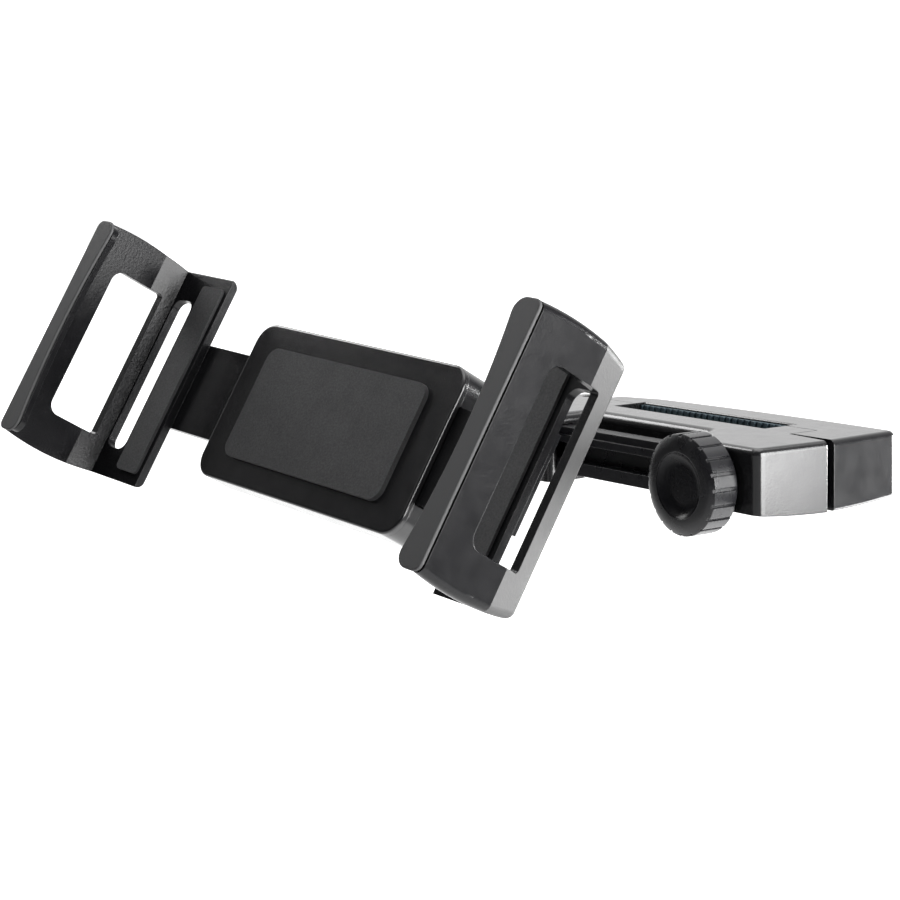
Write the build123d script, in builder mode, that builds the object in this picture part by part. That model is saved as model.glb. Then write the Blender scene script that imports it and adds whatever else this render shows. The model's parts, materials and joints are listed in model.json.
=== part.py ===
from build123d import *
import os

os.makedirs("parts", exist_ok=True)

# Headrest tablet mount, in millimetres.
# The origin is the middle of the slot that takes the headrest posts: +Z runs up along the posts,
# +X along the clamp towards the knob's end, and -Y towards the person who looks at the tablet.

# Clearances
press_gap = 0.02
running_gap = 0.05
slide_gap = 0.3

# Clamp bar
bar_height = 20.0
bar_belly = 1.65
post_slot_length = 75.5
post_gap = 9.0
recess_length = 62.0
far_block_length = 34.25
front_depth = 33.0
narrow_depth = 16.0
rear_depth = 15.2
sleeve_drop = 2.6
parting_gap = 0.3
boss_rise = 2.1
tongue_reach = 3.6
tongue_gap = 1.0
end_draft = 1.8
end_bow = 1.5
plan_round = 3.0
rear_plan_round = 2.6
edge_round = 2.0
foot_round = 0.9
slot_chamfer = 0.4
rear_taper_inset = 2.25
rear_taper_drop = 2.7
rear_taper_slope = 0.31
rear_bow = 0.5

# Post pads
pad_thickness = 2.0
pad_margin = 0.25
pad_height = 20.0
pad_top_inset = 0.8
rib_pitch = 3.0
rib_groove_width = 1.4
rib_groove_depth = 0.9

# Rear jaw's hinge
pivot_inset = 8.0
pivot_y = 3.0
lug_radius = 6.5
lug_height = 8.0
lug_gap = 0.4
hinge_pin_radius = 2.5
hinge_pin_inset = 0.6

# Knob, screw and nut
knob_from_slot = 9.0
knob_from_recess = 18.75
knob_from_tongue = 5.0
knob_from_end = 23.25
knob_drop = 2.1
knob_radius = 15.5
knob_depth = 10.7
knob_brow_depth = 1.4
knob_brow_radius = 9.0
knob_back_chamfer = 0.9
knob_grips = 20
knob_groove_width = 1.1
knob_groove_depth = 0.7
hub_radius = 8.0
hub_rise = 0.6
cap_radius = 10.1
cap_floor_radius = 5.9
cap_thickness = 2.9
cap_dish = 2.1
screw_radius = 3.0
screw_seat_depth = 5.5
washer_radius = 7.0
washer_thickness = 0.7
washer_gap = 0.1
nut_radius = 4.4
nut_height = 15.0
nut_y = 8.4
swing_room = 1.1
screw_tip_wall = 1.0

# Extension arm
arm_depth = 6.5
arm_height = 15.3
arm_top_drop = 3.9
arm_front_inset = 3.5
arm_groove_height = 6.1
arm_groove_depth = 4.0
arm_lower_flange = 4.2
arm_brow_height = 2.5
arm_brow_step = 0.8
arm_end_gap = 0.5
stop_length = 5.0
stop_depth = 6.0
stop_height = 9.0

# Arm head and ball stud
head_length = 32.0
head_gap = 4.4
head_front_wall = 12.0
head_back_wall = 4.5
head_top_wall = 3.4
head_bottom_wall = 4.8
head_end_wall = 4.0
head_round = 3.0
ball_radius = 9.0
ball_reach = 34.5
ball_drop = 5.7
stem_radius = 4.0
collar_radius = 7.0
collar_thickness = 2.4
stud_nut_radius = 6.2
stud_nut_thickness = 4.4

# Holder's pose on the ball
holder_tilt = 30.8
holder_pan = 5.1
holder_roll = -1.3

# Ball socket and lock ring, from the ball's centre along the holder's normal
socket_rim = 3.0
socket_radius = 13.0
socket_slit_width = 1.2
socket_slit_length = 8.0
socket_slits = 4
spigot_radius = 11.0
flange_radius = 14.2
flange_thickness = 2.0
ring_radius = 17.5
ring_lip_radius = 10.5
ring_lip_thickness = 2.0
ring_height = 10.8
ring_chamfer = 1.3
ring_scallops = 18
ring_scallop_radius = 1.3

# Holder housing
housing_back = 10.5
housing_length = 120.0
housing_width = 60.0
housing_corner = 8.0
housing_floor = 5.7
back_edge_round = 2.5
front_shell_thickness = 2.3
front_edge_round = 0.9
slide_width = 34.0
slide_thickness = 3.6
holder_pad_length = 92.0
holder_pad_width = 42.0
holder_pad_corner = 5.0
shell_screw_inset = 7.0
shell_screw_radius = 1.5
shell_screw_head_radius = 2.7
shell_screw_head_height = 1.6
shell_screw_hold = 1.2

# Claws
claw_span = 256.0
claw_length = 86.0
claw_depth = 43.6
claw_wall = 3.6
claw_rear_wall = 3.2
claw_end_bow = 1.3
claw_end_taper = 1.2
claw_end_round = 3.0
crease_depth = 30.2
facet_inset = 3.0
rear_wall_width = 38.0
window_front = 13.4
window_width = 22.2
window_length = 59.0
window_corner = 4.5
window_rear_corner = 1.2
rear_window_width = 12.5
rear_window_length = 62.0
rear_window_margin = 7.0
rear_window_corner = 4.0
slide_reach = 32.0
slide_overlap = 16.0
lip_width = 12.0
lip_waist = 3.9
lip_thickness = 1.8
lip_neck = 0.7
lip_groove = 1.0
lip_inner_corner = 4.5
lip_edge_round = 0.5
flange_depth = 2.4
rest_pad_thickness = 1.2
rest_pad_width = 14.0
rest_pad_margin = 2.0
rest_pad_length = 76.0

# Places worked out from the sizes
bar_top = bar_height / 2
bar_foot = -bar_top - bar_belly
slot_end = post_slot_length / 2
knob_x = slot_end + knob_from_slot
near_reach = knob_x + knob_from_end
far_reach = slot_end + far_block_length
pad_face = post_gap / 2
front_y = -(pad_face + front_depth)
narrow_y = -(pad_face + narrow_depth)
back_y = pad_face + rear_depth
bowed_y = back_y + 2 * rear_bow
pad_seat = pad_face + pad_thickness
rear_face_y = boss_rise + parting_gap
tongue_x = knob_x + knob_from_tongue
tongue_y = -(pad_face + tongue_reach)
boss_x = tongue_x - parting_gap
recess_near = knob_x - knob_from_recess
recess_far = recess_near - recess_length
pivot_x = pivot_inset - far_reach
rear_taper_start = -slot_end - rear_taper_inset
rear_end_x = pivot_x + lug_radius
rear_end_y = back_y - rear_taper_drop - rear_taper_slope * (rear_taper_start - rear_end_x)
lug_top_y = pivot_y + lug_radius
knob_z = -knob_drop
washer_y = front_y - washer_thickness
hub_back_y = washer_y - washer_gap
knob_back_y = hub_back_y - hub_rise
knob_front_y = knob_back_y - knob_depth
screw_start_y = knob_back_y - screw_seat_depth
screw_tip_y = back_y - screw_tip_wall

arm_front_y = front_y + arm_front_inset
arm_back_y = arm_front_y + arm_depth
arm_top = bar_top - arm_top_drop
arm_bottom = arm_top - arm_height
arm_middle_y = (arm_front_y + arm_back_y) / 2
arm_middle_z = (arm_top + arm_bottom) / 2
arm_near_x = recess_near - arm_end_gap
stop_near_x = arm_near_x - plan_round
head_near_x = -far_reach - head_gap
head_far_x = head_near_x - head_length
arm_far_x = head_far_x + head_end_wall
arm_length = arm_near_x - arm_far_x
head_front_y = arm_front_y - head_front_wall
head_back_y = arm_back_y + head_back_wall
head_top = arm_top + head_top_wall
head_bottom = arm_bottom - head_bottom_wall
ball_x = (head_near_x + head_far_x) / 2
ball_y = front_y + arm_front_inset - ball_reach
ball_z = -ball_drop

flange_seat = housing_back + housing_floor
slide_floor = flange_seat + flange_thickness + slide_gap
slide_top = slide_floor + 2 * slide_gap + slide_thickness
housing_front = slide_top + front_shell_thickness
claw_back = slide_floor + slide_gap + slide_thickness
lip_front = claw_back + claw_depth
lip_back = lip_front - lip_thickness
crease_z = lip_front - crease_depth
rear_inner = claw_back + claw_rear_wall
rest_plane = rear_inner + rest_pad_thickness
claw_side = claw_span / 2
claw_inner_edge = claw_side - rear_wall_width
half_claw = claw_length / 2

# Planes of the tilted holder: x across the claws, y up along them, z out of the tablet's face
ball_centre = (ball_x, ball_y, ball_z)
UPRIGHT = Plane(ball_centre, x_dir=(1, 0, 0), z_dir=(0, -1, 0))
HOLDER = UPRIGHT.rotated((-holder_tilt, -holder_roll, holder_pan))
SECTION = Plane(HOLDER.origin, x_dir=HOLDER.x_dir, z_dir=-HOLDER.y_dir)
SIDE = Plane(HOLDER.origin, x_dir=HOLDER.z_dir, z_dir=HOLDER.x_dir)
across = Axis(HOLDER.origin, HOLDER.x_dir)
along = Axis(HOLDER.origin, HOLDER.y_dir)
normal = Axis(HOLDER.origin, HOLDER.z_dir)


def write(builder, name):
    builder.part.label = name
    export_step(builder.part, f"parts/{name}.step")


# Section across the clamp bar, wider than the bar but for its underside, which is bowed down
with BuildSketch(Plane.YZ) as bar_section:
    with BuildLine():
        ThreePointArc((front_y, -bar_top), ((front_y + bowed_y) / 2, bar_foot), (bowed_y, -bar_top))
        Polyline(
            (bowed_y, -bar_top),
            (2 * back_y, -bar_top),
            (2 * back_y, bar_height),
            (2 * front_y, bar_height),
            (2 * front_y, -bar_top),
            (front_y, -bar_top),
        )
    make_face()


# Front jaw: plan outline, hinge lugs, arm sleeve and screw hole
with BuildPart() as jaw_front:
    with BuildSketch(Plane.XY.offset(bar_foot)) as plan:
        with BuildLine():
            Polyline(
                (near_reach - end_bow, front_y),
                (near_reach, tongue_y - tongue_gap - end_draft),
                (boss_x, tongue_y - tongue_gap),
                (boss_x, boss_rise),
                (slot_end, boss_rise),
                (slot_end, -pad_seat),
                (-slot_end, -pad_seat),
                (-slot_end, boss_rise),
                (-far_reach, boss_rise),
                (-far_reach, front_y),
                close=True,
            )
        make_face()
        fillet(plan.vertices().group_by(Axis.Y)[0], plan_round)
        with Locations((pivot_x, pivot_y)):
            Circle(lug_radius)
    extrude(amount=bar_height + bar_belly)
    extrude(bar_section.sketch, amount=2 * far_reach, both=True, mode=Mode.INTERSECT)
    outer_edges = jaw_front.edges().filter_by(lambda edge: edge.center().Y < tongue_y - 2 * tongue_gap - end_draft)
    fillet(outer_edges.group_by(Axis.Z)[-1], edge_round)
    with BuildSketch(Plane.XY.offset(bar_foot)) as recess:
        with Locations(((recess_near + recess_far) / 2, (front_y + narrow_y) / 2)):
            Rectangle(recess_length, narrow_y - front_y)
        fillet(recess.vertices().group_by(Axis.Y)[-1], plan_round)
    extrude(amount=bar_height + bar_belly, mode=Mode.SUBTRACT)
    recess_corners = jaw_front.edges().filter_by(Axis.Z).group_by(Axis.Y)[0]
    fillet(recess_corners.filter_by_position(Axis.X, recess_far - plan_round, recess_near + plan_round), plan_round)
    slot_edges = jaw_front.edges().filter_by_position(Axis.Y, -pad_seat - slide_gap, -pad_seat + slide_gap)
    chamfer(slot_edges.group_by(Axis.Z)[-1], slot_chamfer)
    with BuildSketch(Plane.XY.offset(-bar_top - sleeve_drop)):
        with Locations(((recess_far - far_reach) / 2, (front_y + narrow_y) / 2)):
            RectangleRounded(far_reach + recess_far, narrow_y - front_y, plan_round)
    extrude(amount=sleeve_drop + foot_round)
    with Locations((pivot_x, pivot_y, 0)):
        Cylinder(lug_radius + lug_gap, lug_height + 2 * slide_gap, mode=Mode.SUBTRACT)
        Cylinder(hinge_pin_radius + press_gap, 2 * (bar_height - hinge_pin_inset), mode=Mode.SUBTRACT)
    with BuildSketch(Plane.YZ.offset(-far_reach)) as tunnel:
        with Locations((arm_middle_y, arm_middle_z)):
            Rectangle(arm_depth + 2 * slide_gap, arm_height + 2 * slide_gap)
    extrude(amount=far_reach + recess_far, mode=Mode.SUBTRACT)
    with Locations((knob_x, 0, knob_z)):
        Cylinder(screw_radius + running_gap, 4 * front_depth, rotation=(90, 0, 0), mode=Mode.SUBTRACT)
write(jaw_front, "jaw_front")


# Rear jaw: tongue at the near end, bowed back, tapered far end, hinge lug, nut pocket and screw slot
with BuildPart() as jaw_rear:
    with BuildSketch(Plane.XY.offset(bar_foot)) as plan:
        with BuildLine():
            ThreePointArc(
                (near_reach - end_bow, back_y),
                (slot_end, back_y + rear_bow),
                (rear_taper_start, back_y - rear_taper_drop),
            )
            Polyline(
                (rear_taper_start, back_y - rear_taper_drop),
                (rear_end_x, rear_end_y),
                (rear_end_x, rear_face_y),
                (-slot_end, rear_face_y),
                (-slot_end, pad_seat),
                (slot_end, pad_seat),
                (slot_end, rear_face_y),
                (tongue_x, rear_face_y),
                (tongue_x, tongue_y),
                (near_reach, tongue_y),
                (near_reach - end_bow, back_y),
            )
        make_face()
        fillet(plan.vertices().sort_by(Axis.Y)[-1], rear_plan_round)
    extrude(amount=bar_height + bar_belly)
    extrude(bar_section.sketch, amount=2 * far_reach, both=True, mode=Mode.INTERSECT)
    outer_edges = jaw_rear.edges().filter_by(
        lambda edge: edge.center().Y > pad_seat + slot_chamfer or edge.center().X > near_reach - plan_round
    )
    fillet(outer_edges.group_by(Axis.Z)[-1], edge_round)
    outer_edges = jaw_rear.edges().filter_by(
        lambda edge: edge.center().Y > pad_seat + slot_chamfer or edge.center().X > near_reach - plan_round
    )
    fillet(outer_edges.filter_by(lambda edge: edge.center().Z < foot_round - bar_top), foot_round)
    slot_edges = jaw_rear.edges().filter_by_position(Axis.Y, pad_seat - slide_gap, pad_seat + slide_gap)
    chamfer(slot_edges.group_by(Axis.Z)[-1], slot_chamfer)
    with Locations((pivot_x, pivot_y, 0)):
        Cylinder(lug_radius + lug_gap, 2 * bar_height, mode=Mode.SUBTRACT)
        Cylinder(lug_radius, lug_height)
    with Locations(((pivot_x + rear_end_x) / 2 + lug_gap, (rear_face_y + lug_top_y) / 2, 0)):
        Box(rear_end_x - pivot_x + 2 * lug_gap, lug_top_y - rear_face_y, lug_height)
    with Locations((pivot_x, pivot_y, 0)):
        Cylinder(hinge_pin_radius + running_gap, 2 * bar_height, mode=Mode.SUBTRACT)
    with BuildSketch(Plane.XY.offset(bar_foot)):
        with Locations((knob_x + swing_room / 2, nut_y)):
            SlotCenterToCenter(swing_room, 2 * (nut_radius + slide_gap))
    extrude(amount=knob_z + nut_height / 2 + slide_gap - bar_foot, mode=Mode.SUBTRACT)
    with BuildSketch(Plane((knob_x + swing_room / 2, 0, knob_z), x_dir=(1, 0, 0), z_dir=(0, 1, 0))):
        SlotCenterToCenter(swing_room, 2 * (screw_radius + slide_gap))
    extrude(amount=screw_tip_y + slide_gap, mode=Mode.SUBTRACT)
write(jaw_rear, "jaw_rear")

with BuildPart() as hinge_pin:
    with Locations((pivot_x, pivot_y, 0)):
        Cylinder(hinge_pin_radius, bar_height - 2 * hinge_pin_inset)
write(hinge_pin, "hinge_pin")


# Ribbed rubber pads on both sides of the post slot; side is -1 on the front jaw and 1 on the rear jaw
def post_pad(side):
    pad_length = post_slot_length - 2 * pad_margin
    rib_count = int(pad_length / rib_pitch)
    pad_foot = bar_top - pad_top_inset - pad_height
    with BuildPart() as pad:
        with Locations((0, side * (pad_face + pad_thickness / 2), pad_foot + pad_height / 2)):
            Box(pad_length, pad_thickness, pad_height)
        with BuildSketch(Plane.XY.offset(pad_foot)):
            with Locations((0, side * (pad_face + rib_groove_depth / 2))):
                with GridLocations(rib_pitch, rib_pitch, rib_count, 1):
                    Rectangle(rib_groove_width, rib_groove_depth)
        extrude(amount=pad_height, mode=Mode.SUBTRACT)
    return pad


write(post_pad(-1), "post_pad_front")
write(post_pad(1), "post_pad_rear")

# Clamp knob, turned about the screw's axis, with flat grip segments between narrow grooves
KNOB = Plane((knob_x, 0, knob_z))
knob_axis = Axis((knob_x, 0, knob_z), (0, 1, 0))
cap_seat_y = knob_front_y + cap_thickness
cap_floor_y = knob_front_y + cap_dish
dish_wall = cap_radius - cap_floor_radius
dish_radius = (dish_wall**2 + cap_dish**2) / (2 * cap_dish)
brow_edge_y = knob_front_y + knob_brow_depth

with BuildPart() as knob:
    with BuildSketch(KNOB):
        with BuildLine():
            Polyline(
                (cap_radius + press_gap, knob_front_y),
                (cap_radius + press_gap, cap_seat_y),
                (0, cap_seat_y),
                (0, screw_start_y),
                (screw_radius + press_gap, screw_start_y),
                (screw_radius + press_gap, hub_back_y),
                (hub_radius, hub_back_y),
                (hub_radius, knob_back_y),
                (knob_radius - knob_back_chamfer, knob_back_y),
                (knob_radius, knob_back_y - knob_back_chamfer),
                (knob_radius, brow_edge_y),
            )
            RadiusArc((knob_radius, brow_edge_y), (cap_radius + press_gap, knob_front_y), knob_brow_radius)
        make_face()
    revolve(axis=knob_axis)
    with BuildSketch(Plane((knob_x, knob_front_y, knob_z), x_dir=(1, 0, 0), z_dir=(0, 1, 0))):
        with PolarLocations(knob_radius, knob_grips):
            Rectangle(2 * knob_groove_depth, knob_groove_width)
    extrude(amount=knob_depth, mode=Mode.SUBTRACT)
write(knob, "knob")

with BuildPart() as knob_cap:
    with BuildSketch(KNOB):
        with BuildLine():
            Polyline(
                (cap_floor_radius, cap_floor_y),
                (0, cap_floor_y),
                (0, cap_seat_y),
                (cap_radius, cap_seat_y),
                (cap_radius, knob_front_y),
            )
            RadiusArc((cap_radius, knob_front_y), (cap_floor_radius, cap_floor_y), -dish_radius)
        make_face()
    revolve(axis=knob_axis)
write(knob_cap, "knob_cap")

with BuildPart() as clamp_screw:
    with Locations((knob_x, (screw_start_y + screw_tip_y) / 2, knob_z)):
        Cylinder(screw_radius, screw_tip_y - screw_start_y, rotation=(90, 0, 0))
write(clamp_screw, "clamp_screw")

with BuildPart() as clamp_nut:
    with Locations((knob_x, nut_y, knob_z)):
        Cylinder(nut_radius, nut_height)
        Cylinder(screw_radius + running_gap, 4 * nut_radius, rotation=(90, 0, 0), mode=Mode.SUBTRACT)
write(clamp_nut, "clamp_nut")

with BuildPart() as thrust_washer:
    with Locations((knob_x, (washer_y + front_y) / 2, knob_z)):
        Cylinder(washer_radius, washer_thickness, rotation=(90, 0, 0))
        Cylinder(screw_radius + running_gap, 2 * washer_thickness, rotation=(90, 0, 0), mode=Mode.SUBTRACT)
write(thrust_washer, "thrust_washer")

# Extension arm: a grooved rail that slides through the front jaw's sleeve
with BuildPart() as extension_arm:
    with BuildSketch(Plane.YZ.offset(arm_far_x)):
        with Locations((arm_middle_y, arm_middle_z)):
            Rectangle(arm_depth, arm_height)
        with Locations((arm_front_y + arm_groove_depth / 2, arm_bottom + arm_lower_flange + arm_groove_height / 2)):
            Rectangle(arm_groove_depth, arm_groove_height, mode=Mode.SUBTRACT)
        with Locations((arm_front_y + arm_brow_step / 2, arm_top - arm_brow_height / 2)):
            Rectangle(arm_brow_step, arm_brow_height, mode=Mode.SUBTRACT)
    extrude(amount=arm_length)
write(extension_arm, "extension_arm")

with BuildPart() as arm_stop:
    with Locations((stop_near_x - stop_length / 2, arm_back_y + stop_depth / 2, arm_middle_z)):
        Box(stop_length, stop_depth, stop_height)
write(arm_stop, "arm_stop")

# Arm head: closes over the arm's far end and holds the ball stud
head_middle = ((head_front_y + head_back_y) / 2, (head_top + head_bottom) / 2)
stud_nut_y = arm_front_y - slide_gap - stud_nut_thickness / 2
stud_end_y = arm_front_y - slide_gap
collar_y = head_front_y - slide_gap - collar_thickness / 2

with BuildPart() as arm_head:
    with BuildSketch(Plane.YZ.offset(head_far_x)):
        with Locations(head_middle):
            RectangleRounded(head_back_y - head_front_y, head_top - head_bottom, head_round)
    extrude(amount=head_length)
    fillet(arm_head.edges().group_by(Axis.X)[0], edge_round)
    with BuildSketch(Plane.YZ.offset(arm_far_x)):
        with Locations((arm_middle_y, arm_middle_z)):
            Rectangle(arm_depth + 2 * press_gap, arm_height + 2 * press_gap)
    extrude(amount=head_length, mode=Mode.SUBTRACT)
    with Locations((ball_x, (head_front_y + arm_front_y) / 2, ball_z)):
        Cylinder(stem_radius + running_gap, 2 * head_front_wall, rotation=(90, 0, 0), mode=Mode.SUBTRACT)
    with Locations((ball_x, stud_nut_y, ball_z)):
        Cylinder(
            stud_nut_radius + slide_gap,
            stud_nut_thickness + 2 * slide_gap,
            rotation=(90, 0, 0),
            mode=Mode.SUBTRACT,
        )
write(arm_head, "arm_head")

with BuildPart() as ball_stud:
    with Locations(ball_centre):
        Sphere(ball_radius)
    with Locations((ball_x, (ball_y + stud_end_y) / 2, ball_z)):
        Cylinder(stem_radius, stud_end_y - ball_y, rotation=(90, 0, 0))
    with Locations((ball_x, collar_y, ball_z)):
        Cylinder(collar_radius, collar_thickness, rotation=(90, 0, 0))
write(ball_stud, "ball_stud")

with BuildPart() as stud_nut:
    with Locations((ball_x, stud_nut_y, ball_z)):
        Cylinder(stud_nut_radius, stud_nut_thickness, rotation=(90, 0, 0))
        Cylinder(stem_radius + press_gap, 2 * stud_nut_thickness, rotation=(90, 0, 0), mode=Mode.SUBTRACT)
write(stud_nut, "stud_nut")

# Ball socket: a cup with slit fingers, and a spigot and flange that turn in the holder's back shell
cup_radius = ball_radius + running_gap
cup_top = housing_back - slide_gap
flange_back = flange_seat + washer_gap
flange_front = flange_back + flange_thickness

with BuildPart() as ball_socket:
    with BuildSketch(HOLDER.offset(-socket_rim)):
        Circle(socket_radius)
    extrude(amount=cup_top + socket_rim)
    with BuildSketch(HOLDER.offset(cup_top)):
        Circle(spigot_radius)
    extrude(amount=flange_back - cup_top)
    with BuildSketch(HOLDER.offset(flange_back)):
        Circle(flange_radius)
    extrude(amount=flange_thickness)
    with Locations(ball_centre):
        Sphere(cup_radius, mode=Mode.SUBTRACT)
    with BuildSketch(HOLDER.offset(-socket_rim)):
        with PolarLocations(socket_radius, socket_slits, start_angle=180 / socket_slits):
            Rectangle(socket_radius, socket_slit_width)
    extrude(amount=socket_slit_length, mode=Mode.SUBTRACT)
write(ball_socket, "ball_socket")

# Lock ring that squeezes the socket's fingers on the ball
ring_inner = socket_radius + running_gap
ring_lip_front = -socket_rim - slide_gap
ring_back = ring_lip_front - ring_lip_thickness
ring_front = ring_lip_front + ring_height

with BuildPart() as lock_ring:
    with BuildSketch(SECTION):
        with BuildLine():
            Polyline(
                (ring_lip_radius, ring_back),
                (ring_radius - ring_chamfer, ring_back),
                (ring_radius, ring_back + ring_chamfer),
                (ring_radius, ring_front - ring_chamfer),
                (ring_radius - ring_chamfer, ring_front),
                (ring_inner, ring_front),
                (ring_inner, ring_lip_front),
                (ring_lip_radius, ring_lip_front),
                close=True,
            )
        make_face()
    revolve(axis=normal)
    with BuildSketch(HOLDER.offset(ring_back)):
        with PolarLocations(ring_radius + ring_scallop_radius / 2, ring_scallops):
            Circle(ring_scallop_radius)
    extrude(amount=ring_front - ring_back, mode=Mode.SUBTRACT)
write(lock_ring, "lock_ring")

# Holder housing: a back shell with the slide channel and the socket's seat, closed by a front shell
shell_screw_x = housing_length - 2 * shell_screw_inset
shell_screw_y = housing_width - 2 * shell_screw_inset
screw_front = housing_front - shell_screw_hold

with BuildPart() as holder_back:
    with BuildSketch(HOLDER.offset(housing_back)):
        RectangleRounded(housing_length, housing_width, housing_corner)
    extrude(amount=slide_top - housing_back)
    fillet(holder_back.edges().group_by(normal)[0], back_edge_round)
    with BuildSketch(HOLDER.offset(slide_floor)):
        Rectangle(2 * housing_length, slide_width + 2 * slide_gap)
    extrude(amount=slide_top - slide_floor, mode=Mode.SUBTRACT)
    with BuildSketch(HOLDER.offset(flange_seat)):
        Circle(flange_radius + slide_gap)
    extrude(amount=slide_floor - flange_seat, mode=Mode.SUBTRACT)
    with BuildSketch(HOLDER.offset(housing_back)):
        Circle(spigot_radius + running_gap)
    extrude(amount=housing_floor, mode=Mode.SUBTRACT)
    with BuildSketch(HOLDER.offset(housing_back)):
        with GridLocations(shell_screw_x, shell_screw_y, 2, 2):
            Circle(shell_screw_head_radius + press_gap)
    extrude(amount=shell_screw_head_height, mode=Mode.SUBTRACT)
    with BuildSketch(HOLDER.offset(housing_back)):
        with GridLocations(shell_screw_x, shell_screw_y, 2, 2):
            Circle(shell_screw_radius + press_gap)
    extrude(amount=slide_top - housing_back, mode=Mode.SUBTRACT)
write(holder_back, "holder_back")

with BuildPart() as holder_front:
    with BuildSketch(HOLDER.offset(slide_top)):
        RectangleRounded(housing_length, housing_width, housing_corner)
    extrude(amount=front_shell_thickness)
    fillet(holder_front.edges().group_by(normal)[-1], front_edge_round)
    with BuildSketch(HOLDER.offset(slide_top)):
        with GridLocations(shell_screw_x, shell_screw_y, 2, 2):
            Circle(shell_screw_radius + press_gap)
    extrude(amount=screw_front - slide_top, mode=Mode.SUBTRACT)
write(holder_front, "holder_front")

with BuildPart() as shell_screws:
    with BuildSketch(HOLDER.offset(housing_back)):
        with GridLocations(shell_screw_x, shell_screw_y, 2, 2):
            Circle(shell_screw_head_radius)
    extrude(amount=shell_screw_head_height)
    with BuildSketch(HOLDER.offset(housing_back)):
        with GridLocations(shell_screw_x, shell_screw_y, 2, 2):
            Circle(shell_screw_radius)
    extrude(amount=screw_front - housing_back)
write(shell_screws, "shell_screws")

with BuildPart() as holder_pad:
    with BuildSketch(HOLDER.offset(housing_front)):
        RectangleRounded(holder_pad_length, holder_pad_width, holder_pad_corner)
    extrude(amount=rest_plane - housing_front)
write(holder_pad, "holder_pad")

# Claws: C-section with bowed ends, a crease, a slanted rear facet, windows and a slide tongue
facet_slope = facet_inset / (crease_z - claw_back)
inner_facet_foot = claw_side - claw_wall - facet_slope * (crease_z - rear_inner)
window_middle = lip_front - window_front - window_width / 2
rear_window_middle = claw_side - rear_window_margin - rear_window_width / 2
slide_end = claw_inner_edge + slide_overlap
claw_middle = (claw_back + lip_back) / 2
rear_half_claw = half_claw - claw_end_taper


# Outline of the lip, whose inner edge is hollowed; the claw's flange and the neck are set in from it
def lip_outline(level, inset):
    edge = claw_side - inset
    tip = claw_side - lip_width + inset
    half_lip = half_claw - inset
    with BuildSketch(HOLDER.offset(level)) as outline:
        with BuildLine():
            Polyline((tip, half_lip), (edge, half_lip), (edge, -half_lip), (tip, -half_lip))
            ThreePointArc((tip, -half_lip), (tip + lip_waist, 0), (tip, half_lip))
        make_face()
        fillet(outline.vertices().group_by(Axis.X)[0], lip_inner_corner)
        fillet(outline.vertices().group_by(Axis.X)[-1], claw_end_round)
    return outline.sketch


with BuildPart() as claw_right:
    with BuildSketch(SECTION):
        with BuildLine():
            Polyline(
                (claw_side, lip_back),
                (claw_side, crease_z),
                (claw_side - facet_inset, claw_back),
                (claw_inner_edge, claw_back),
                (claw_inner_edge, lip_back),
                close=True,
            )
        make_face()
    extrude(amount=claw_length, both=True)
    with BuildSketch(SIDE):
        with BuildLine():
            ThreePointArc((lip_back, half_claw), (claw_middle, half_claw + claw_end_bow), (claw_back, rear_half_claw))
            Polyline(
                (claw_back, rear_half_claw),
                (claw_back - claw_wall, rear_half_claw),
                (claw_back - claw_wall, -rear_half_claw),
                (claw_back, -rear_half_claw),
            )
            ThreePointArc((claw_back, -rear_half_claw), (claw_middle, -half_claw - claw_end_bow), (lip_back, -half_claw))
            Polyline(
                (lip_back, -half_claw),
                (lip_back + claw_wall, -half_claw),
                (lip_back + claw_wall, half_claw),
                (lip_back, half_claw),
            )
        make_face()
    extrude(amount=claw_span, mode=Mode.INTERSECT)
    outer_faces = claw_right.faces().filter_by(lambda face: face.normal_at().dot(HOLDER.x_dir) > 0.95)
    end_edges = [face.edges().sort_by(along)[end] for face in outer_faces for end in (0, -1)]
    rear_edges = claw_right.faces().sort_by(normal)[0].edges().sort_by(across)[1:]
    fillet(end_edges + rear_edges, claw_end_round)
    with BuildSketch(SECTION):
        with BuildLine():
            Polyline(
                (claw_side - claw_wall, lip_front),
                (claw_side - claw_wall, crease_z),
                (inner_facet_foot, rear_inner),
                (claw_inner_edge - claw_wall, rear_inner),
                (claw_inner_edge - claw_wall, lip_front),
                close=True,
            )
        make_face()
    extrude(amount=claw_length, both=True, mode=Mode.SUBTRACT)
    extrude(lip_outline(lip_back - flange_depth, lip_neck), amount=flange_depth)
    with BuildSketch(SIDE.offset(claw_side)) as window:
        with Locations((window_middle, 0)):
            Rectangle(window_width, window_length)
        fillet(window.vertices().group_by(Axis.X)[0], window_rear_corner)
        fillet(window.vertices().group_by(Axis.X)[-1], window_corner)
    extrude(amount=2 * claw_wall, both=True, mode=Mode.SUBTRACT)
    with BuildSketch(HOLDER.offset(claw_back)):
        with Locations((rear_window_middle, 0)):
            RectangleRounded(rear_window_width, rear_window_length, rear_window_corner)
    extrude(amount=claw_rear_wall, mode=Mode.SUBTRACT)
    with BuildSketch(HOLDER.offset(claw_back - slide_thickness)):
        with Locations(((slide_reach + slide_end) / 2, 0)):
            Rectangle(slide_end - slide_reach, slide_width)
    extrude(amount=slide_thickness)
write(claw_right, "claw_right")

with BuildPart() as lip_right:
    extrude(lip_outline(lip_back + lip_neck, 0), amount=lip_thickness - lip_neck)
    fillet(lip_right.edges().group_by(normal)[-1], lip_edge_round)
    extrude(lip_outline(lip_back, lip_groove), amount=lip_neck)
write(lip_right, "lip_right")

with BuildPart() as rest_pad_right:
    with BuildSketch(HOLDER.offset(rear_inner)):
        with Locations((claw_inner_edge + rest_pad_margin + rest_pad_width / 2, 0)):
            RectangleRounded(rest_pad_width, rest_pad_length, rest_pad_margin)
    extrude(amount=rest_pad_thickness)
write(rest_pad_right, "rest_pad_right")

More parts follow.
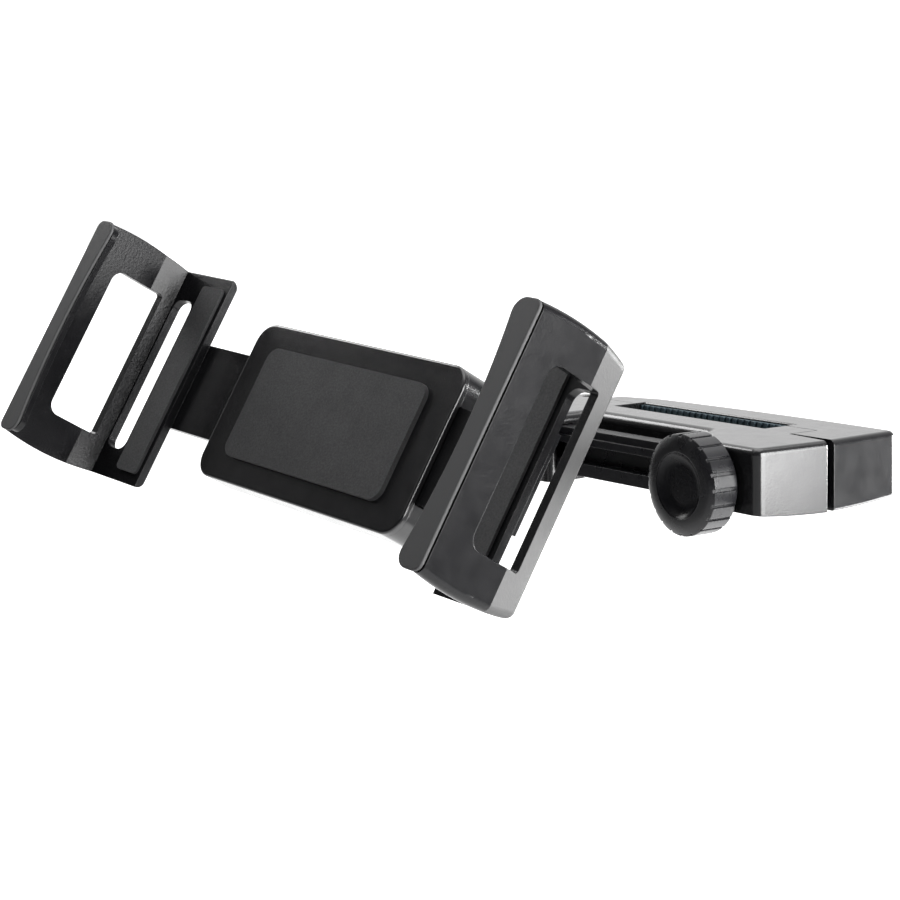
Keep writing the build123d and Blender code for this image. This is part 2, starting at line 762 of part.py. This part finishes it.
# The left claw's pieces are the right one's, mirrored
for name, right_piece in (("claw_left", claw_right), ("lip_left", lip_right), ("rest_pad_left", rest_pad_right)):
    with BuildPart() as left_piece:
        mirror(right_piece.part, about=SIDE)
    write(left_piece, name)
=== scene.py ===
import json
from math import pi

import bpy
from mathutils import Matrix, Vector

# Looks of the headrest tablet mount, in metres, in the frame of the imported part.

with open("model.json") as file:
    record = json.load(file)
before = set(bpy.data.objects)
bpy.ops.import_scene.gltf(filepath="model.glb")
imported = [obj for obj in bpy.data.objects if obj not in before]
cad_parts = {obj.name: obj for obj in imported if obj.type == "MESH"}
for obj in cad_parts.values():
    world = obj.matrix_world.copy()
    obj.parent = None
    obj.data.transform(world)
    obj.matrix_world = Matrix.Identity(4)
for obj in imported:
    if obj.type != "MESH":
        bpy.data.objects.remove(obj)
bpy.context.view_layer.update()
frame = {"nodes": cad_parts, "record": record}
nodes = frame["nodes"]


# Radius in metres that moulded edges seem to have
edge_round = 0.0004
# Noise scale of the slow change of sheen and shade on moulded faces, and the span of the noise it uses
cloud_scale = 190.0
cloud_span = (0.15, 0.85)


def material(name, colour, roughness, metallic=0.0, specular=0.5):
    """A new node material and its shader, with the constants set on the shader's own sockets."""
    made = bpy.data.materials.new(name)
    made.use_nodes = True
    shader = made.node_tree.nodes["Principled BSDF"]
    shader.inputs["Base Color"].default_value = (*colour, 1.0)
    shader.inputs["Roughness"].default_value = roughness
    shader.inputs["Metallic"].default_value = metallic
    shader.inputs["Specular IOR Level"].default_value = specular
    return made, shader


def texture(made, kind, scale, detail=2.0, stretch=(1.0, 1.0, 1.0)):
    """A noise or voronoi texture in object space, so its grain keeps its real size on every piece."""
    tree = made.node_tree
    place = tree.nodes.new("ShaderNodeTexCoord")
    mapping = tree.nodes.new("ShaderNodeMapping")
    mapping.inputs["Scale"].default_value = stretch
    node = tree.nodes.new("ShaderNodeTexVoronoi" if kind == "voronoi" else "ShaderNodeTexNoise")
    node.inputs["Scale"].default_value = scale
    if kind != "voronoi":
        node.inputs["Detail"].default_value = detail
    tree.links.new(place.outputs["Object"], mapping.inputs["Vector"])
    tree.links.new(mapping.outputs["Vector"], node.inputs["Vector"])
    return node.outputs["Distance" if kind == "voronoi" else "Fac"]


def ramp(made, source, low, high, start=0.3, end=0.7):
    """Maps a value, over the span from start to end, to the span from low to high."""
    node = made.node_tree.nodes.new("ShaderNodeMapRange")
    node.inputs["From Min"].default_value = start
    node.inputs["From Max"].default_value = end
    node.inputs["To Min"].default_value = low
    node.inputs["To Max"].default_value = high
    made.node_tree.links.new(source, node.inputs["Value"])
    return node.outputs["Result"]


def tint(made, shader, source, dark, light):
    """Colour that wanders between two close shades."""
    node = made.node_tree.nodes.new("ShaderNodeMix")
    node.data_type = "RGBA"
    node.inputs["A"].default_value = (*dark, 1.0)
    node.inputs["B"].default_value = (*light, 1.0)
    made.node_tree.links.new(source, node.inputs["Factor"])
    made.node_tree.links.new(node.outputs["Result"], shader.inputs["Base Color"])


def bump(made, shader, sources, strength, edge=0.0):
    """Fine relief from one texture or several, each with its own depth in metres, and softened edges."""
    before = None
    if edge:
        soft = made.node_tree.nodes.new("ShaderNodeBevel")
        soft.samples = 6
        soft.inputs["Radius"].default_value = edge
        before = soft.outputs["Normal"]
    for source, depth in sources:
        node = made.node_tree.nodes.new("ShaderNodeBump")
        node.inputs["Strength"].default_value = strength
        node.inputs["Distance"].default_value = depth
        made.node_tree.links.new(source, node.inputs["Height"])
        if before is not None:
            made.node_tree.links.new(before, node.inputs["Normal"])
        before = node.outputs["Normal"]
    made.node_tree.links.new(before, shader.inputs["Normal"])


def along(made, source, axis):
    """How far a vector reaches along an axis."""
    node = made.node_tree.nodes.new("ShaderNodeVectorMath")
    node.operation = "DOT_PRODUCT"
    node.inputs[1].default_value = axis
    made.node_tree.links.new(source, node.inputs[0])
    return node.outputs["Value"]


def moulded(name, dark, light, rough, grain, depth, specular=0.5):
    """Moulded plastic: spark-eroded grain, slow change of sheen and shade, and softened edges."""
    made, shader = material(name, dark, rough[0], specular=specular)
    cloud = texture(made, "noise", cloud_scale, 6.0)
    fine = texture(made, "noise", grain, 3.0)
    cell = texture(made, "voronoi", 0.6 * grain)
    tint(made, shader, ramp(made, cloud, 0.0, 1.0, *cloud_span), dark, light)
    made.node_tree.links.new(ramp(made, cloud, *rough, *cloud_span), shader.inputs["Roughness"])
    bump(made, shader, [(fine, depth), (cell, 0.6 * depth)], 0.6, edge_round)
    return made


def rubber(name, dark, light):
    """Matt rubber with a fine grain."""
    made, shader = material(name, dark, 0.75, specular=0.35)
    fine = texture(made, "noise", 1600.0, 4.0)
    cloud = texture(made, "noise", 90.0, 2.0)
    tint(made, shader, ramp(made, cloud, 0.0, 1.0), dark, light)
    made.node_tree.links.new(ramp(made, fine, 0.62, 0.85), shader.inputs["Roughness"])
    bump(made, shader, [(fine, 0.00006)], 0.6)
    return made


def metal(name, dark, light, rough, stretch):
    """Plated steel with drawn or turned marks along one way."""
    made, shader = material(name, dark, rough[0], metallic=1.0)
    marks = texture(made, "noise", 900.0, 3.0, stretch)
    cloud = texture(made, "noise", 120.0, 2.0)
    tint(made, shader, ramp(made, cloud, 0.0, 1.0), dark, light)
    made.node_tree.links.new(ramp(made, marks, *rough), shader.inputs["Roughness"])
    bump(made, shader, [(marks, 0.00001)], 0.5)
    return made


def threaded(name, dark, light, rough, pitch):
    """Steel with a screw thread along Y."""
    made = metal(name, dark, light, rough, (1.0, 1.0, 1.0))
    tree = made.node_tree
    turns = tree.nodes.new("ShaderNodeTexWave")
    turns.bands_direction = "Y"
    turns.wave_profile = "TRI"
    turns.inputs["Scale"].default_value = 2 * pi / (20 * pitch)
    tree.links.new(tree.nodes.new("ShaderNodeTexCoord").outputs["Object"], turns.inputs["Vector"])
    bump(made, tree.nodes["Principled BSDF"], [(turns.outputs["Fac"], 0.4 * pitch)], 0.8)
    return made


looks = {
    "body_black": moulded(
        "body_plastic", (0.004, 0.004, 0.0045), (0.007, 0.007, 0.0075), (0.15, 0.22), 2300.0, 0.000022
    ),
    "claw_black": moulded(
        "claw_plastic", (0.003, 0.003, 0.0035), (0.005, 0.005, 0.0055), (0.18, 0.27), 1500.0, 0.00005, 0.16
    ),
    "lip_grey": moulded(
        "lip_plastic", (0.025, 0.025, 0.026), (0.032, 0.032, 0.033), (0.55, 0.66), 2600.0, 0.00002, 0.25
    ),
    "knob_black": moulded(
        "knob_plastic", (0.005, 0.005, 0.006), (0.008, 0.008, 0.009), (0.24, 0.32), 1800.0, 0.00003, 0.34
    ),
    "cap_black": moulded(
        "cap_plastic", (0.004, 0.004, 0.005), (0.007, 0.007, 0.008), (0.22, 0.30), 3200.0, 0.000004, 0.1
    ),
    "pad_rubber": rubber("pad_rubber", (0.010, 0.010, 0.011), (0.015, 0.015, 0.016)),
    "steel": metal("zinc_steel", (0.50, 0.50, 0.51), (0.62, 0.62, 0.63), (0.24, 0.38), (1.0, 0.05, 1.0)),
    "dark_steel": metal(
        "black_steel", (0.05, 0.05, 0.055), (0.08, 0.08, 0.085), (0.30, 0.42), (1.0, 1.0, 0.05)
    ),
}
post_rubber = rubber("post_rubber", (0.016, 0.030, 0.038), (0.024, 0.042, 0.052))

# Out of the tablet's face: the axis that the tilted holder turns on
joints = {row["name"]: row for row in frame["record"]["behaviour"]["joints"]}
face_out = Vector(joints["holder_turn"]["axis"]).normalized()


def shade_where(made, mask, colour):
    """Turns the base colour to a plain one where a mask is 1."""
    tree = made.node_tree
    base = tree.nodes["Principled BSDF"].inputs["Base Color"]
    node = tree.nodes.new("ShaderNodeMix")
    node.data_type = "RGBA"
    node.inputs["B"].default_value = (*colour, 1.0)
    tree.links.new(base.links[0].from_socket, node.inputs["A"])
    tree.links.new(mask, node.inputs["Factor"])
    tree.links.new(node.outputs["Result"], base)


# The chamfer behind each claw's side is a duller band than the side itself, and carries a painted
# highlight: a lighter grey base colour stands in for the light it catches. Both are found by how far its
# face turns away from the tablet's
chamfer_turn = (-0.18, -0.08)
chamfer_dulling = 0.28
chamfer_painted_highlight = (0.040, 0.040, 0.040)
claw_look = looks["claw_black"]
claw_nodes = claw_look.node_tree
claw_rough = claw_nodes.nodes["Principled BSDF"].inputs["Roughness"]
facing = along(claw_look, claw_nodes.nodes.new("ShaderNodeTexCoord").outputs["Normal"], face_out)
duller = claw_nodes.nodes.new("ShaderNodeMath")
claw_nodes.links.new(claw_rough.links[0].from_socket, duller.inputs[0])
claw_nodes.links.new(ramp(claw_look, facing, chamfer_dulling, 0.0, *chamfer_turn), duller.inputs[1])
claw_nodes.links.new(duller.outputs["Value"], claw_rough)
# Painted highlight: the chamfer's base colour is lifted to grey in place of the light it reflects
shade_where(claw_look, ramp(claw_look, facing, 1.0, 0.0, *chamfer_turn), chamfer_painted_highlight)

# Painted shade in the groove under the lips' plates, from 0.85 to 1.05 mm behind the front: its shadow is
# painted near-black
groove_start = 0.00085
groove_full = 0.00105
groove_painted_shade = (0.003, 0.003, 0.003)
lip_look = looks["lip_grey"]
lip_front = max(face_out.dot(v.co) for v in nodes["lip_right"].data.vertices)
lip_place = lip_look.node_tree.nodes.new("ShaderNodeTexCoord").outputs["Object"]
lip_depth = along(lip_look, lip_place, face_out)
groove = ramp(lip_look, lip_depth, 1.0, 0.0, lip_front - groove_full, lip_front - groove_start)
# Painted shade: the groove's shadow is painted into the lip's base colour
shade_where(lip_look, groove, groove_painted_shade)

screw_pitch = 0.002
screw_steel = threaded("screw_steel", (0.42, 0.42, 0.43), (0.55, 0.55, 0.56), (0.26, 0.40), screw_pitch)
arm_plastic = moulded(
    "arm_plastic", (0.004, 0.004, 0.005), (0.007, 0.007, 0.008), (0.24, 0.33), 2300.0, 0.000022, 0.1
)
own_looks = {
    "post_pad_front": post_rubber,
    "post_pad_rear": post_rubber,
    "clamp_screw": screw_steel,
    "extension_arm": arm_plastic,
}
slot_of = {row["node"]: row["material_slot"] for row in frame["record"]["subparts"]}
for name, piece in nodes.items():
    piece.data.materials.clear()
    piece.data.materials.append(own_looks.get(name, looks[slot_of[name]]))

# Camera at the photo's view
camera_data = bpy.data.cameras.new("camera")
camera_data.sensor_width = 36.0
camera_data.lens = 89.5
camera = bpy.data.objects.new("camera", camera_data)
bpy.context.scene.collection.objects.link(camera)
look_right = Vector((0.5611, 0.8274, -0.0232))
look_up = Vector((-0.1107, 0.1028, 0.9885))
look_along = Vector((-0.8203, 0.5520, -0.1493))
turn = Matrix((look_right, look_up, -look_along)).transposed().to_4x4()
camera_place = (0.55535, -0.4735, 0.1098)
camera.matrix_world = Matrix.Translation(camera_place) @ turn
bpy.context.scene.camera = camera

# Pale floor, well below the part, which its posts hold in the air
floor_drop = 0.65
floor_reach = 12.0
floor_mesh = bpy.data.meshes.new("floor")
floor_mesh.from_pydata(
    [
        (-floor_reach, -floor_reach, 0),
        (floor_reach, -floor_reach, 0),
        (floor_reach, floor_reach, 0),
        (-floor_reach, floor_reach, 0),
    ],
    [],
    [(0, 1, 2, 3)],
)
floor = bpy.data.objects.new("floor", floor_mesh)
floor.location = (0, 0, -floor_drop)
bpy.context.scene.collection.objects.link(floor)
floor_look, floor_shader = material("floor_paint", (0.86, 0.86, 0.86), 0.9, specular=0.1)
floor_shader.inputs["Emission Color"].default_value = (1.0, 1.0, 1.0, 1.0)
floor_place = floor_look.node_tree.nodes.new("ShaderNodeTexCoord").outputs["Object"]


def floor_ramp(direction, start, end):
    """Rises from 0 to 1 across the floor along a level direction."""
    return ramp(floor_look, along(floor_look, floor_place, (*direction, 0.0)), 0.0, 1.0, start, end)


# The floor shines where it lies behind the part, so that it meets the white backdrop without a line
floor_away = (-0.83, 0.56)
floor_right = (0.375, 0.927)
floor_glow = floor_look.node_tree.nodes.new("ShaderNodeMath")
floor_glow.operation = "MULTIPLY"
floor_look.node_tree.links.new(floor_ramp(floor_away, 0.80, 1.25), floor_glow.inputs[0])
floor_look.node_tree.links.new(floor_ramp(floor_right, -0.60, -0.25), floor_glow.inputs[1])
floor_look.node_tree.links.new(floor_glow.outputs["Value"], floor_shader.inputs["Emission Strength"])
floor_mesh.materials.append(floor_look)


def softbox(name, place, target, size, radiance):
    """A soft panel that faces a target and shines with one brightness, whatever its size."""
    data = bpy.data.lights.new(name, "AREA")
    data.shape = "RECTANGLE"
    data.size, data.size_y = size
    data.energy = radiance * pi * size[0] * size[1]
    lamp = bpy.data.objects.new(name, data)
    lamp.location = place
    lamp.rotation_mode = "QUATERNION"
    lamp.rotation_quaternion = (Vector(target) - Vector(place)).to_track_quat("-Z", "Y")
    bpy.context.scene.collection.objects.link(lamp)


part_middle = (-0.03, -0.05, 0.0)
clamp_end = (0.07, -0.024, 0.15)
claw_facet = (0.036, -0.085, 0.0)
softbox("overhead", (-0.1, 0.1, 1.3), part_middle, (1.4, 1.4), 3.0)
softbox("right", (0.995, 0.193, 0.15), clamp_end, (0.87, 0.70), 21.0)
softbox("behind_right_low", (0.19, 0.430, -0.23), claw_facet, (0.26, 0.24), 14.0)
softbox("behind_right_high", (0.267, 0.892, -0.01), claw_facet, (0.34, 0.26), 85.0)
softbox("left_high", (-0.90, -0.20, 0.62), part_middle, (0.40, 0.40), 9.0)
softbox("front_fill", (-0.5, -1.0, 1.1), part_middle, (0.9, 0.9), 0.8)

# Studio round the part: a white backdrop behind it, a soft ceiling, and a dim room on the camera's side
world = bpy.data.worlds.new("studio")
world.use_nodes = True
sky = world.node_tree
way = sky.nodes.new("ShaderNodeTexCoord").outputs["Generated"]


def glow(direction, start, end, strength):
    """Brightness that grows as a direction nears the given one."""
    near = sky.nodes.new("ShaderNodeVectorMath")
    near.operation = "DOT_PRODUCT"
    near.inputs[1].default_value = Vector(direction).normalized()
    sky.links.new(way, near.inputs[0])
    rise = sky.nodes.new("ShaderNodeMapRange")
    rise.interpolation_type = "SMOOTHSTEP"
    rise.inputs["From Min"].default_value = start
    rise.inputs["From Max"].default_value = end
    rise.inputs["To Max"].default_value = strength
    sky.links.new(near.outputs["Value"], rise.inputs["Value"])
    return rise.outputs["Result"]


def total(first, second):
    """Sum of two brightnesses, of which the second may be a plain number."""
    node = sky.nodes.new("ShaderNodeMath")
    node.operation = "ADD"
    sky.links.new(first, node.inputs[0])
    if isinstance(second, float):
        node.inputs[1].default_value = second
    else:
        sky.links.new(second, node.inputs[1])
    return node.outputs["Value"]


backdrop = glow((-0.87, 0.50, 0.0), 0.35, 0.80, 1.12)
ceiling = glow((0.0, 0.2, 1.0), 0.45, 0.90, 0.8)
room = 0.06
sky.nodes["Background"].inputs["Color"].default_value = (1.0, 1.0, 1.0, 1.0)
sky.links.new(total(total(backdrop, ceiling), room), sky.nodes["Background"].inputs["Strength"])
bpy.context.scene.world = world
bpy.context.scene.view_settings.view_transform = "Standard"
